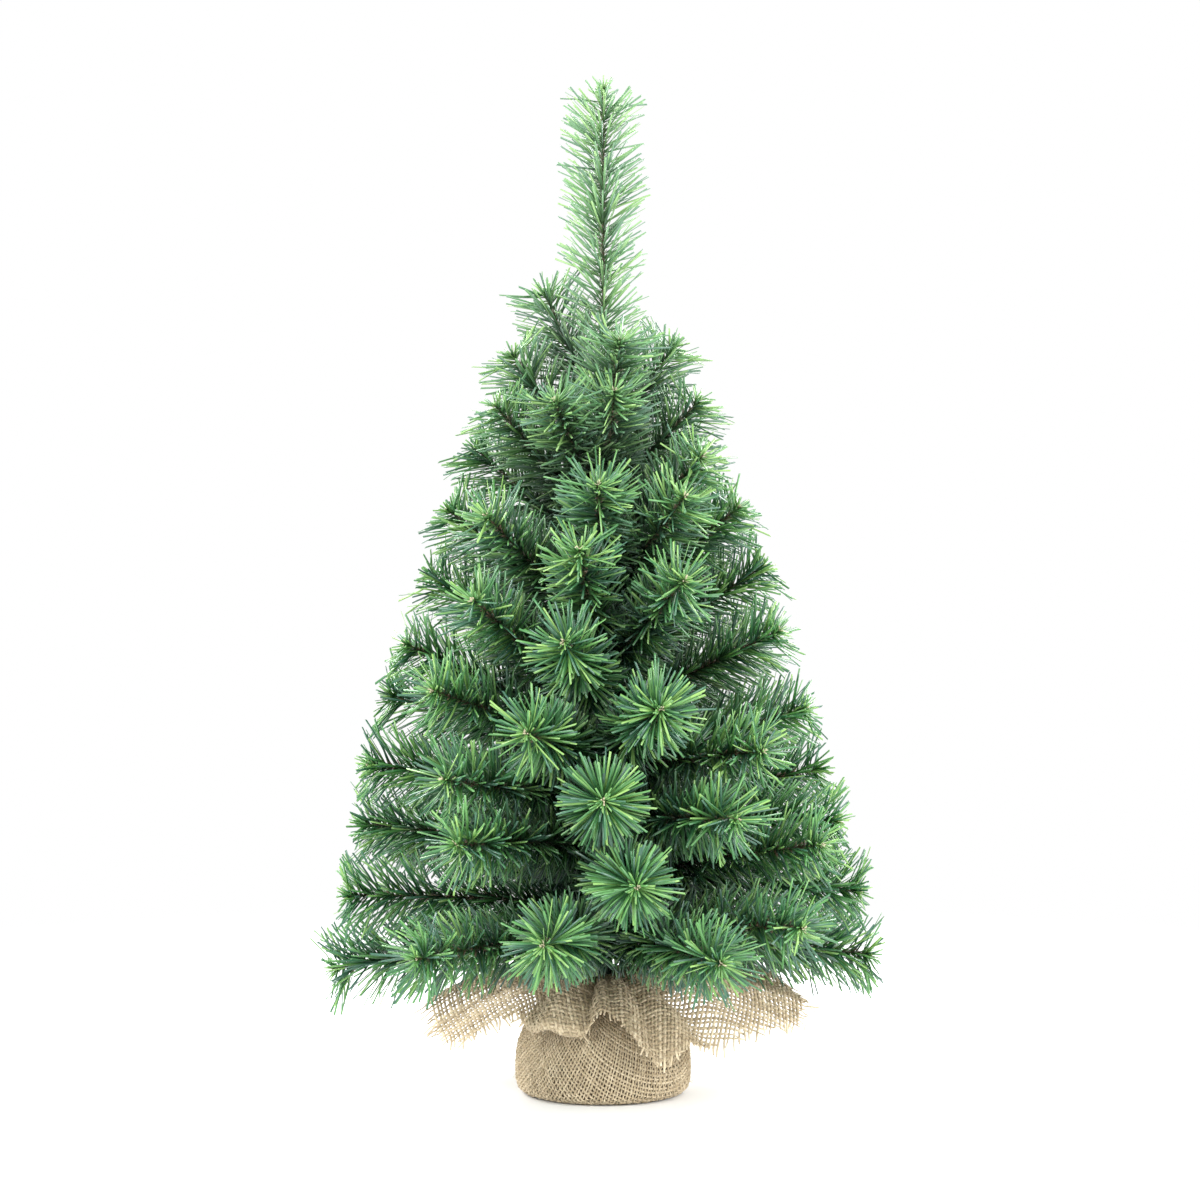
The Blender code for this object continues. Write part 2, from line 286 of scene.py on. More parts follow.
def needle_material():
    """Cut PVC film: each needle has its own green, darkened by painted shade at its root and towards the
    trunk.

    The lowest shades are brown bark strips and the pale curls at the tips.
    Painted glare mixes the film towards a light grey-green near the tree's top.
    """
    made, tree, shader = new_material("needle_film", roughness=0.34)
    colour = ramp(tree, attribute(tree, "shade"), (
        (0.00, (0.070, 0.042, 0.022)),
        (BARK_SHADE, (0.190, 0.125, 0.070)),
        (CURL_SHADE, (0.620, 0.550, 0.370)),
        (GREEN_SHADE, (0.042, 0.140, 0.090)),
        (0.35, (0.042, 0.185, 0.068)),
        (0.70, (0.110, 0.325, 0.080)),
        (1.00, (0.290, 0.520, 0.130)),
    ))
    # painted shade: each needle darker towards its root, where the needles crowd round the wire
    depth = ramp(tree, attribute(tree, "along"), (
        (0.0, (0.50, 0.56, 0.56)), (0.5, (0.85, 0.88, 0.85)), (1.0, WHITE),
    ))
    # painted shade: needles darker towards the trunk, deep inside the brush
    painted_inner_shade = ramp(tree, attribute(tree, "reach"), (
        (0.35, (0.38, 0.42, 0.42)), (0.60, (0.68, 0.71, 0.70)), (0.85, WHITE),
    ))
    patches = ramp(tree, noise(tree, 60.0), ((0.3, (0.84, 0.86, 0.87)), (0.7, WHITE)))
    film = multiply(tree, colour, depth, painted_inner_shade, patches)
    # painted glare: film mixed towards a light grey-green near the tree's top
    painted_glare_mix = add_node(tree, "ShaderNodeMix", data_type="RGBA", B=(0.56, 0.78, 0.56, 1.0))
    tree.links.new(attribute(tree, "pale"), painted_glare_mix.inputs["Factor"])
    tree.links.new(film, painted_glare_mix.inputs["A"])
    tree.links.new(painted_glare_mix.outputs["Result"], shader.inputs["Base Color"])
    shader.inputs["Specular IOR Level"].default_value = 0.75
    return made


def grained_material(name, stops, grain, relief=None, depth=(0.0, 0.0), **finish):
    """A material with one noise for its colour and one for its relief, of (strength, distance) depth."""
    made, tree, shader = new_material(name, **finish)
    tree.links.new(ramp(tree, noise(tree, **grain), stops), shader.inputs["Base Color"])
    if relief:
        bump(tree, shader, noise(tree, **relief), *depth)
    return made


def wire_material():
    """Twisted steel wire with dark enamel, rubbed brown by the bark strips."""
    stops = ((0.30, (0.035, 0.026, 0.016)), (0.70, (0.140, 0.095, 0.055)))
    return grained_material("twisted_wire", stops, {"scale": 350.0}, roughness=0.55, metallic=0.3)


def tape_material():
    """Dark green PVC tape with faint creases."""
    stops = ((0.3, (0.010, 0.030, 0.016)), (0.7, (0.030, 0.070, 0.032)))
    creases = {"scale": 400.0, "stretch": (1, 1, 0.3)}
    film = {"scale": 90.0}
    return grained_material("trunk_tape_film", stops, film, creases, (0.3, 0.3 * MM), roughness=0.5)


def cement_material():
    """Cast cement with pores and pale lime patches."""
    stops = ((0.35, (0.27, 0.26, 0.24)), (0.65, (0.47, 0.46, 0.43)))
    patches = {"scale": 70.0, "detail": 6.0}
    pores = {"scale": 300.0, "detail": 6.0}
    return grained_material("cast_cement", stops, patches, pores, (0.6, 0.6 * MM), roughness=0.92)


def cup_material():
    """Thin moulded plastic with a fine matt grain."""
    stops = ((0.3, (0.016, 0.016, 0.017)), (0.7, (0.028, 0.028, 0.030)))
    clouds = {"scale": 40.0}
    grain = {"scale": 2500.0}
    return grained_material("cup_plastic_grain", stops, clouds, grain, (0.15, 0.1 * MM), roughness=0.55)


def steel_material():
    """Drawn steel rod with fine lengthwise lines."""
    stops = ((0.3, (0.28, 0.28, 0.29)), (0.7, (0.48, 0.48, 0.49)))
    lines = {"scale": 500.0, "stretch": (1, 1, 0.04)}
    depth = (0.2, 0.1 * MM)
    return grained_material("drawn_steel", stops, lines, lines, depth, roughness=0.38, metallic=1.0)


def yarn_material(name, tint):
    """Jute yarn: straw colour that varies from yarn to yarn and along each one, with hairy bump."""
    made, tree, shader = new_material(name, roughness=0.9)
    straws = ((0.0, (0.38, 0.310, 0.215)), (0.5, (0.56, 0.475, 0.350)), (1.0, (0.80, 0.71, 0.56)))
    stops = [(place, tuple(np.multiply(tint, straw))) for place, straw in straws]
    base = ramp(tree, attribute(tree, "shade"), stops)
    slubs = ramp(tree, noise(tree, 220.0), ((0.25, (0.70, 0.66, 0.60)), (0.75, WHITE)))
    tree.links.new(multiply(tree, base, slubs), shader.inputs["Base Color"])
    bump(tree, shader, noise(tree, 1500.0, detail=5.0), 0.5, 0.3 * MM)
    shader.inputs["Sheen Weight"].default_value = 0.15
    return made


def painted_shade_sheet_material():
    """Burlap seen as a closed under-layer: two crossed bands of threads, in browns far darker than the
    yarns, partly the cloth's own colour and partly painted shade.
    """
    made, tree, shader = new_material("burlap_layer_painted_shade", roughness=0.95)
    uv = add_node(tree, "ShaderNodeUVMap", uv_map=UV_MAP).outputs["UV"]
    top = add_node(tree, "ShaderNodeMath", operation="MAXIMUM")
    waves = {"Scale": 16.0, "Distortion": 1.2, "Detail": 2.0, "Detail Scale": 2.0}
    for number, axis in enumerate("XY"):
        band = add_node(tree, "ShaderNodeTexWave", bands_direction=axis, **waves)
        tree.links.new(uv, band.inputs["Vector"])
        tree.links.new(band.outputs["Fac"], top.inputs[number])
    # painted shade: these browns are the cloth under the weave, darkened for the shade it sits in
    painted_shade_browns = ((0.3, (0.060, 0.042, 0.024)), (0.9, (0.170, 0.125, 0.075)))
    tree.links.new(ramp(tree, top.outputs[0], painted_shade_browns), shader.inputs["Base Color"])
    bump(tree, shader, top.outputs[0], 0.8, 0.6 * MM)
    return made


def floor_material():
    """Pale studio floor with faint cloudy marks, which fades into the white around it."""
    made, tree, shader = new_material("studio_floor", roughness=0.6)
    marks = ((0.35, (0.86, 0.87, 0.885)), (0.65, (0.92, 0.93, 0.94)))
    tree.links.new(ramp(tree, noise(tree, 3.0, detail=8.0), marks), shader.inputs["Base Color"])
    place = tree.nodes.new("ShaderNodeTexCoord").outputs["Object"]
    length = add_node(tree, "ShaderNodeVectorMath", operation="LENGTH")
    tree.links.new(place, length.inputs[0])
    limits = {"From Min": FLOOR_SOLID, "From Max": FLOOR_GONE, "To Min": 1.0, "To Max": 0.0}
    fade = add_node(tree, "ShaderNodeMapRange", interpolation_type="SMOOTHSTEP", **limits)
    tree.links.new(length.outputs["Value"], fade.inputs["Value"])
    tree.links.new(fade.outputs["Result"], shader.inputs["Alpha"])
    return made


# ---- mesh building


def new_object(name, data):
    """A new object in the scene."""
    item = bpy.data.objects.new(name, data)
    bpy.context.scene.collection.objects.link(item)
    return item


class Shape:
    """Collects points, faces and per-point values, and makes one mesh of them."""

    def __init__(self):
        self.points = []
        self.faces = []
        self.values = {}
        self.count = 0

    def add(self, points, faces, **values):
        """faces is a list of (n, k) index arrays; each value is one number per point."""
        self.points.append(points)
        for block in faces:
            self.faces.append(block + self.count)
        for name, numbers in values.items():
            self.values.setdefault(name, []).append(numbers)
        self.count += len(points)

    def build(self, name, paint, smooth=True):
        """One mesh object with the collected faces, values and UVs."""
        mesh = bpy.data.meshes.new(name)
        corners = np.concatenate([block.ravel() for block in self.faces]).astype(np.int32)
        sizes = np.concatenate([np.full(len(b), b.shape[1], np.int32) for b in self.faces])
        starts = np.concatenate(([0], np.cumsum(sizes)[:-1])).astype(np.int32)
        points = np.concatenate(self.points).astype(np.float32)
        mesh.vertices.add(len(points))
        mesh.vertices.foreach_set("co", points.ravel())
        mesh.loops.add(len(corners))
        mesh.polygons.add(len(sizes))
        mesh.polygons.foreach_set("loop_start", starts)
        mesh.polygons.foreach_set("vertices", corners)
        for value, blocks in self.values.items():
            if value == "uv":
                layer = mesh.uv_layers.new(name=UV_MAP)
                layer.data.foreach_set("uv", np.concatenate(blocks).astype(np.float32)[corners].ravel())
            else:
                layer = mesh.attributes.new(value, "FLOAT", "POINT")
                layer.data.foreach_set("value", np.concatenate(blocks).astype(np.float32))
        mesh.update(calc_edges=True)
        mesh.validate()
        if smooth:
            mesh.shade_smooth()
        mesh.materials.append(paint)
        return new_object(name, mesh)


def unit(vectors):
    """Vectors scaled to length 1, along the last axis."""
    return vectors / np.maximum(np.linalg.norm(vectors, axis=-1, keepdims=True), 1e-12)


def tube_faces(rings, sides):
    """Quads between rings of points, and a cap on each end."""
    ring = np.arange(sides)
    following = (ring + 1) % sides
    base = (np.arange(rings - 1) * sides)[:, None]
    quads = np.stack(
        (base + ring, base + following, base + sides + following, base + sides + ring), axis=-1
    ).reshape(-1, 4)
    return [quads, ring[::-1][None, :], (ring + (rings - 1) * sides)[None, :]]


def tube_points(centres, normals, half_width, half_height, sides):
    """Elliptical rings around a line of centres. Width lies across the line and the normal."""
    along = unit(np.gradient(centres, axis=0))
    across = unit(np.cross(along, normals))
    upward = np.cross(across, along)
    angles = (np.arange(sides) + 0.5) * (2 * math.pi / sides)
    flat = np.cos(angles)[..., None] * across[:, None, :] * np.reshape(half_width, (-1, 1, 1))
    tall = np.sin(angles)[..., None] * upward[:, None, :] * np.reshape(half_height, (-1, 1, 1))
    return (centres[:, None, :] + flat + tall).reshape(-1, 3)


# ---- branches


def node_points(name):
    """The different points of a CAD solid."""
    points = np.array([v.co for v in frame["nodes"][name].data.vertices])
    return np.unique(points.round(6), axis=0)


def arm_line(points, pivot):
    """Start, control point and end of the curve that one arm of a branch solid follows."""
    away = np.linalg.norm(points - pivot, axis=1)
    tip = points[away.argmax()]
    length = away.max()
    ring = points[np.abs(away - 0.5 * length) < MIDDLE_BAND * length]
    middle = ring.mean(axis=0)
    return pivot, 2 * middle - 0.5 * (pivot + tip), tip


def branch_arms(name, joint):
    """The curves of the one or two arms of a branch."""
    pivot = np.array(joint["pos_m"])
    points = node_points(name)
    offsets = points - pivot
    away = np.linalg.norm(offsets, axis=1)
    sideways = offsets @ np.array(joint["axis"])
    outer = away > OUTER_FROM * away.max()
    if abs(sideways[away.argmax()]) < FORKED_FROM * away.max():
        return [arm_line(points[outer], pivot)]
    return [arm_line(points[outer & side], pivot) for side in (sideways < 0, sideways > 0)]


def curve_at(arm, share):
    """Points and directions of a quadratic curve."""
    start, middle, end = arm
    share = np.asarray(share)[:, None]
    points = start * (1 - share) ** 2 + middle * (2 * share * (1 - share)) + end * share**2
    along = (middle - start) * (2 * (1 - share)) + (end - middle) * (2 * share)
    return points, unit(along)


def arm_length(arm):
    """Length along an arm's curve."""
    points, _ = curve_at(arm, np.linspace(0, 1, ARM_SAMPLES))
    return np.linalg.norm(np.diff(points, axis=0), axis=1).sum()


def strip_faces(count):
    """Faces of a number of strips. Both caps have four sides, like the quads."""
    one = np.concatenate(tube_faces(len(STRIP_RINGS), STRIP_SIDES))
    return (one[None] + (np.arange(count) * STRIP_POINTS)[:, None, None]).reshape(-1, STRIP_SIDES)


def add_strips(
    shape, roots, along, outward, rng, length, width, sweep_deg, values, thickness=NEEDLE_THICKNESS
):
    """Flat strips that leave their roots swept forward, each with its own turn, curl and slanted cut.

    values holds named numbers for the material, one per strip.
    """
    count = len(roots)
    sweep = np.radians(sweep_deg)[:, None]
    heading = unit(np.cos(sweep) * along + np.sin(sweep) * outward)
    across = unit(np.cross(heading, outward + 0.01 * UP))
    face = np.cross(heading, across)
    roll = rng.uniform(-NEEDLE_ROLL, NEEDLE_ROLL, count)[:, None]
    wide = np.cos(roll) * across + np.sin(roll) * face
    thin = np.cross(heading, wide)
    curl = rng.normal(0.0, NEEDLE_BEND, (count, 1)) * thin
    curl = curl + rng.normal(0.02, NEEDLE_BEND, (count, 1)) * along
    slant = rng.uniform(-NEEDLE_SLANT, NEEDLE_SLANT, (count, 1))
    rings = []
    for share, widening in STRIP_RINGS:
        centre = roots + heading * (length[:, None] * share) + curl * (length[:, None] * share**2)
        half_wide = wide * (0.5 * width * widening)[:, None]
        half_thin = thin * (0.5 * thickness)
        cut = heading * (slant * (0.5 * width[:, None])) * (share == 1.0)
        corners = [centre + w * half_wide + t * half_thin + w * cut for w, t in STRIP_CORNERS]
        rings.append(np.stack(corners, axis=1))
    points = np.concatenate(rings, axis=1).reshape(-1, 3)
    steps = np.tile(np.repeat([share for share, _ in STRIP_RINGS], STRIP_SIDES), count)
    numbers = {name: np.repeat(value, STRIP_POINTS) for name, value in values.items()}
    shape.add(points, [strip_faces(count)], along=steps, **numbers)


def strip_uv(shape):
    """Gives every strip its own cell of a square grid, with its length running up the cell."""
    strips = shape.count // STRIP_POINTS
    columns = math.ceil(math.sqrt(strips))
    number = np.arange(strips)
    corner = np.stack((number % columns, number // columns), axis=1) / columns
    sides = np.tile([0.15, 0.38, 0.62, 0.85], len(STRIP_RINGS))
    rings = np.repeat([0.12, 0.5, 0.88], STRIP_SIDES)
    cell = np.stack((sides, rings), axis=1) / columns
    shape.values["uv"] = [(corner[:, None, :] + cell[None]).reshape(-1, 2)]


def tube_uv(shape, sides):
    """Gives every tube its own row, with its length running along the row."""
    rows = len(shape.points)
    blocks = []
    for row, points in enumerate(shape.points):
        rings = len(points) // sides
        along = np.repeat(np.linspace(0.02, 0.98, rings), sides)
        across = np.tile(np.linspace(0.2, 0.8, sides), rings)
        blocks.append(np.stack((along, (row + across) / rows), axis=1))
    shape.values["uv"] = blocks


def needle_shades(rng, count, lightness):
    """Mixed film colours: bluish, middle and yellowish greens."""
    kind = rng.choice([0.14, 0.42, 0.68, 0.92], count, p=[0.22, 0.33, 0.29, 0.16])
    return np.clip(kind + lightness + rng.normal(0, 0.06, count), GREEN_SHADE, 1.0)


def add_brush(
    shape, arm, rng, density, length, sweep, lightness, pale, overhang=TIP_OVERHANG, least_reach=0.0
):
    """Needles, bark strips, pale curls at the cut end and short needles around it, on one arm.

    least_reach above 0 keeps the painted shade towards the trunk off the needles.
    """
    total = arm_length(arm)

    def strips(distance, lengths, widths, sweeps, shade):
        roots, along, outward = around(arm, distance / total, rng)
        # reach drives the painted shade towards the trunk; pale carries the painted glare near the tree's
        # top
        reach = np.maximum(distance / total, least_reach)
        values = {"shade": shade, "reach": reach, "pale": np.full(len(distance), pale)}
        add_strips(shape, roots, along, outward, rng, lengths, widths, sweeps, values)

    count = int((total - LAST_NEEDLE - FIRST_NEEDLE) / MM * density)
    distance = rng.uniform(FIRST_NEEDLE, total - LAST_NEEDLE, count)
    near_tip = np.clip((distance - total + TIP_ZONE) / TIP_ZONE, 0, 1)
    sweeps = sweep + rng.normal(0, SWEEP_SPREAD_DEG, count) + SWEEP_AT_TIP_DEG * near_tip
    room = total - distance + overhang * rng.uniform(0.4, 1.4, count)
    cut = np.maximum(room / np.maximum(np.cos(np.radians(sweeps)), 0.2), SHORTEST_NEEDLE)
    lengths = np.minimum(length * rng.uniform(0.86, 1.06, count), cut)
    widths = NEEDLE_WIDTH * rng.uniform(0.8, 1.15, count)
    shade = needle_shades(rng, count, lightness + 0.1 * near_tip)
    strips(distance, lengths, widths, sweeps, shade)

    bark = int(total / MM * BARK_PER_MM)
    distance = np.concatenate((
        rng.uniform(BARK_STARTS * total, total - BARK_STOPS, bark), np.full(TIP_CURLS, total - MM)
    ))
    count = len(distance)
    lengths = BARK_LENGTH * rng.uniform(0.6, 1.2, count)
    lengths[bark:] *= 0.6
    widths = NEEDLE_WIDTH * rng.uniform(0.6, 0.9, count)
    shade = rng.uniform(0.0, BARK_SHADE, count)
    shade[bark:] = CURL_SHADE
    strips(distance, lengths, widths, rng.uniform(20, 60, count), shade)

    distance = total - rng.uniform(0.05, 1.0, TIP_SHORTS) * TIP_SHORT_ZONE
    lengths = TIP_SHORT_LENGTH * rng.uniform(0.4, 1.1, TIP_SHORTS)
    widths = NEEDLE_WIDTH * rng.uniform(0.6, 0.9, TIP_SHORTS)
    sweeps = rng.uniform(25, 70, TIP_SHORTS)
    strips(distance, lengths, widths, sweeps, rng.uniform(0.6, 1.0, TIP_SHORTS))


def around(arm, shares, rng):
    """Points on an arm with the direction along it and a random direction away from it."""
    points, along = curve_at(arm, shares)
    across = unit(np.cross(along, (0.01, 0.0, 1.0)))
    upward = np.cross(across, along)
    turn = rng.uniform(0, 2 * math.pi, len(points))[:, None]
    return points, along, np.cos(turn) * across + np.sin(turn) * upward


def add_wire(shape, arm, radius=WIRE_RADIUS):
    """Two wires twisted together, as one tube with a waisted section that turns along its length."""
    total = arm_length(arm)
    rings = max(int(total / WIRE_STEP), 8)
    shares = np.linspace(0, 1, rings)
    centres, along = curve_at(arm, shares)
    across = unit(np.cross(along, (0.3, 0.2, 1.0)))
    upward = np.cross(across, along)
    angles = np.arange(WIRE_SIDES) * (2 * math.pi / WIRE_SIDES)
    turn = (shares * total / WIRE_PITCH * 2 * math.pi)[:, None]
    lobes = radius * (0.72 + 0.38 * np.cos(2 * angles))[None, :]
    section = lobes[..., None] * (
        np.cos(angles + turn)[..., None] * across[:, None, :]
        + np.sin(angles + turn)[..., None] * upward[:, None, :]
    )
    shape.add((centres[:, None, :] + section).reshape(-1, 3), tube_faces(rings, WIRE_SIDES))


def build_branches(needles, wire):
    """Brush and wire of every branch, riding on the body of that branch."""
    names = sorted(n for n in frame["bodies"] if n.startswith("branch_"))
    joints = {joint["child"]: joint for joint in frame["joints"]}
    for number, name in enumerate(names):
        rng = np.random.default_rng(SEED + number)
        arms = branch_arms(name, joints[name])
        brush = Shape()
        stem = Shape()
        for arm in arms:
            height = arm[2][2] / CAD_BOX[1][2]
            # painted light: higher arms get lighter, yellower greens and pale film, standing in for the
            # brighter light and glare on the tree's top
            lightness = 0.12 * (height - 0.35)
            pale = 0.13 * float(ease(height, 0.45, 0.85))
            add_brush(brush, arm, rng, NEEDLES_PER_MM, NEEDLE_LENGTH, SWEEP_DEG, lightness, pale)
            add_wire(stem, arm)
        strip_uv(brush)
        tube_uv(stem, WIRE_SIDES)
        place_branch(name, brush, stem, needles, wire)


def place_branch(name, brush, stem, needles, wire):
    """Puts a brush and its wire on their body. The wire stands for the CAD solid."""
    brush_piece = brush.build(name + "_needles", needles, smooth=False)
    stem_piece = stem.build(name + "_wire", wire)
    for piece in (brush_piece, stem_piece):
        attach(piece, name)
    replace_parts(stem_piece, name)


def build_leader(needles, wire):
    """Upright tip: a thicker wire and a brush lightened by painted glare."""
    joint = next(j for j in frame["joints"] if j["child"] == "leader")
    arm = arm_line(node_points("leader"), np.array(joint["pos_m"]))
    rng = np.random.default_rng(SEED + 1000)
    brush = Shape()
    stem = Shape()
    # painted light: lighter greens and the most pale film stand for the glare on the leader; least_reach
    # keeps painted shade off it
    add_brush(
        brush, arm, rng, LEADER_NEEDLES_PER_MM, LEADER_NEEDLE_LENGTH, LEADER_SWEEP_DEG,
        lightness=0.14, pale=0.2, overhang=LEADER_OVERHANG, least_reach=0.85,
    )
    add_wire(stem, arm, radius=LEADER_WIRE_RADIUS)
    strip_uv(brush)
    tube_uv(stem, WIRE_SIDES)
    place_branch("leader", brush, stem, needles, wire)


# ---- burlap


def cad_tree(node):
    """A CAD solid's surface, for casting rays at it."""
    mesh = frame["nodes"][node].data
    return BVHTree.FromPolygons([v.co for v in mesh.vertices], [p.vertices for p in mesh.polygons])


def outward_hits(tree, height):
    """Distances from the axis of the first two surfaces that a level ray towards the left meets."""
    start = Vector((0, 0, height))
    heading = Vector((-1, 0, 0))
    hits = []
    while len(hits) < 2:
        place, _, _, _ = tree.ray_cast(start, heading)
        if place is None:
            break
        hits.append(-place.x)
        start = place + heading * (0.05 * MM)
    return hits


def pot_profile(tree):
    """Outer side of the wrapped base, as rows of (distance along the cloth, radius, height)."""
    rows = [(0.0, 0.0)]
    for height in np.arange(0.5, WRAP_HEIGHT / MM, 0.5) * MM:
        rows.append((pot_radius(tree, height), height))
    rows = np.array(rows)
    rows = np.vstack((rows[:1], [[rows[1, 0] - FOOT_ROUNDING, 0.0]], rows[1:]))
    steps = np.linalg.norm(np.diff(rows, axis=0), axis=1)
    return np.column_stack((np.concatenate(([0], np.cumsum(steps))), rows))


def pot_radius(tree, height):
    """Outside radius of the cloth around the base. Below the skirt's edge every hit is the base's own."""
    hits = outward_hits(tree, height)
    if height < WRAP_FLOOR:
        return hits[0]
    if height < SKIRT_LOWEST:
        return max(hits)
    return hits[1]


def wrinkles(azimuth, waves):
    """Sum of waves around the axis, each as (count, amplitude, phase)."""
    return sum(size * np.sin(count * azimuth + phase) for count, size, phase in waves)


def ease(values, start, stop):
    """0 before start, 1 after stop, smooth between."""
    share = np.clip((values - start) / (stop - start), 0, 1)
    return share * share * (3 - 2 * share)


def around_axis(radius, azimuth, height):
    """Points at given places around the trunk's axis."""
    return np.stack((radius * np.sin(azimuth), -radius * np.cos(azimuth), height), axis=-1)


def swell(azimuth, centre_deg, width_deg):
    """1 at one azimuth, falling off smoothly on both sides of it."""
    return np.exp(-(((azimuth - math.radians(centre_deg)) / math.radians(width_deg)) ** 2))


class PotCover:
    """The cloth under and around the base, unrolled as a flat cone, so that its weave stays even."""

    PLEATS = ((9, 0.35, 0.4), (14, 0.5, 1.9), (23, 0.35, 4.0), (31, 0.2, 0.9))
    PLEAT_DEPTH = 1.9 * MM
    PLEATS_FROM = 24 * MM
    PLEATS_FULL = 56 * MM
    CONE_START = 17 * MM
    CLOTH_ANGLE = 0.6
    SEAM_OVERLAP = math.radians(7)
    SEAM_FROM = math.radians(160)
    SEAM_LIFT = 1.1 * MM
    CREASE_DEG = -3
    CREASE_WIDTH_DEG = 6
    CREASE_DEPTH = 1.3 * MM
    SIDE_FROM = 42 * MM
    SIDE_FULL = 58 * MM

    def __init__(self, profile, inset):
        self.profile = profile
        self.inset = inset

    def polar(self, a, b):
        """Azimuth around the trunk and distance along the cloth of flat cloth coordinates."""
        return np.arctan2(a, -b) / self.CLOTH_ANGLE, np.hypot(a, b) - self.CONE_START

    def at(self, azimuth, distance):
        """Points of the pleated cloth, set in by the inset."""
        radius = np.interp(distance, self.profile[:, 0], self.profile[:, 1])
        height = np.interp(distance, self.profile[:, 0], self.profile[:, 2])
        upper = ease(height, self.PLEATS_FROM, self.PLEATS_FULL)
        crease = swell(azimuth, self.CREASE_DEG, self.CREASE_WIDTH_DEG)
        seam = ease(azimuth, self.SEAM_FROM, math.pi)
        side = ease(distance, self.SIDE_FROM, self.SIDE_FULL)
        pleats = wrinkles(azimuth, self.PLEATS) * self.PLEAT_DEPTH
        radius = radius + pleats * upper - self.CREASE_DEPTH * crease * upper
        radius = radius - (self.inset - self.SEAM_LIFT * seam) * side
        height = height + self.inset * (1 - side)
        return around_axis(radius, azimuth, height)

    def place(self, a, b):
        """Points of the cloth over flat cloth coordinates."""
        return self.at(*self.polar(a, b))


class Skirt:
    """The cloth above the neck, over flat cloth coordinates measured from the trunk's axis."""

    FOLDS = ((6, 0.5, 2.2), (10, 0.6, 0.6), (15, 0.45, 3.6), (23, 0.2, 1.2))
    # Single folds as (azimuth, half width, rise): a deep valley beside a full bulge, then the parted front
    FRONT_FOLDS = (
        (-31, 12, 4.0), (-11, 5.5, -9.0), (4, 5, -3.0), (19, 8, 4.0), (52, 9, -4.0), (76, 16, 6.0),
    )
    FOLD_HEIGHT = 2.6 * MM
    FOLDS_FULL = 55 * MM
    FRONT_FOLDS_FULL = 32 * MM
    # The bulge's edge is rolled under, over these azimuths
    ROLL_FROM = math.radians(-58)
    ROLL_TO = math.radians(-9)
    ROLL_EDGE = math.radians(7)
    ROLL_RADIUS = 3.6 * MM
    ROLL_LENGTH = 11 * MM
    HIDDEN_ROLL = 0.45
    # Where the cloth is longer or shorter than its CAD solid, as (azimuth, half width, millimetres)
    RIM_CHANGES = ((-57, 9, -7.0), (-32, 9, 6.0), (-12, 6, -3.0), (72, 12, -5.0))
    # Where the side flaps begin, with their longer loose threads
    FLAP_FROM = math.radians(48)
    FLAP_FULL = math.radians(66)
    SHORT_FRINGE = 0.35
    REACH = 160 * MM
    STEP = 1 * MM
    ABOVE = Vector((0, 0, 0.3))
    THICKNESS = 1 * MM
    CLEARANCE = 2.2 * MM

    def __init__(self, tree, profile, lift=0.0):
        self.azimuths = np.radians(np.arange(-180, 180, 2.0))
        self.distances = np.arange(SKIRT_START, self.REACH, self.STEP)
        upper = profile[profile[:, 2] > SKIRT_LOWEST][::-1]
        self.rest_radius = upper[:, 1]
        self.rest_height = upper[:, 2]
        self.lift = lift
        columns = zip(*(self.sample(tree, azimuth) for azimuth in self.azimuths))
        self.radii, self.heights, self.rims = (self.smooth(np.array(column)) for column in columns)

    @staticmethod
    def smooth(values):
        """Average over neighbouring azimuths, to take the facets out."""
        return (np.roll(values, 1, axis=0) + 2 * values + np.roll(values, -1, axis=0)) / 4

    def sample(self, tree, azimuth):
        """Radius and height over the distance along the cloth, and the distance to its edge."""
        heading = Vector((math.sin(azimuth), -math.cos(azimuth), 0))
        rows = []
        for radius in self.distances:
            place, _, _, _ = tree.ray_cast(heading * radius + self.ABOVE, Vector((0, 0, -1)))
            if place is None:
                break
            rows.append((radius, place.z - self.THICKNESS))
        rows = np.array(rows)
        lengths = np.linalg.norm(np.diff(rows, axis=0), axis=1)
        along = SKIRT_START + np.concatenate(([0], np.cumsum(lengths)))
        slope = (rows[-1] - rows[-4]) / (along[-1] - along[-4])
        beyond = np.maximum(self.distances - along[-1], 0)[:, None] * slope
        radius = np.interp(self.distances, along, rows[:, 0]) + beyond[:, 0]
        height = np.interp(self.distances, along, rows[:, 1]) + beyond[:, 1]
        return radius, height, along[-1]

    def lookup(self, table, azimuth, distance):
        """Value between the rows and columns of a table."""
        row = (azimuth - self.azimuths[0]) / (self.azimuths[1] - self.azimuths[0])
        low = np.floor(row).astype(int)
        share = row - low
        count = len(self.azimuths)
        column = np.clip((distance - SKIRT_START) / self.STEP, 0, len(self.distances) - 1.001)
        left = np.floor(column).astype(int)
        part = column - left
        rows = (low % count, (low + 1) % count)
        first, second = (table[row, left] * (1 - part) + table[row, left + 1] * part for row in rows)
        return first * (1 - share) + second * share

    def rim(self, azimuth):
        """Distance to the edge. The rolled part of the cloth is longer, as its end is out of sight."""
        plain = np.interp(azimuth, self.azimuths, self.rims, period=2 * math.pi)
        for centre, width, longer in self.RIM_CHANGES:
            plain = plain + longer * MM * swell(azimuth, centre, width)
        return plain + self.HIDDEN_ROLL * self.ROLL_LENGTH * self.rolled(azimuth)

    def margin(self, a, b):
        """Distance inwards from the cloth's edge."""
        return self.rim(np.arctan2(a, -b)) - np.hypot(a, b)

    def rolled(self, azimuth):
        """1 where the edge is rolled under, 0 elsewhere."""
        begun = ease(azimuth, self.ROLL_FROM, self.ROLL_FROM + self.ROLL_EDGE)
        return begun * ease(-azimuth, -self.ROLL_TO, self.ROLL_EDGE - self.ROLL_TO)

    def fringe(self, a, b):
        """Length of the loose threads: long on the side flaps, short at the front."""
        flap = ease(np.abs(np.arctan2(a, -b)), self.FLAP_FROM, self.FLAP_FULL)
        return FRINGE * (self.SHORT_FRINGE + (1 - self.SHORT_FRINGE) * flap)

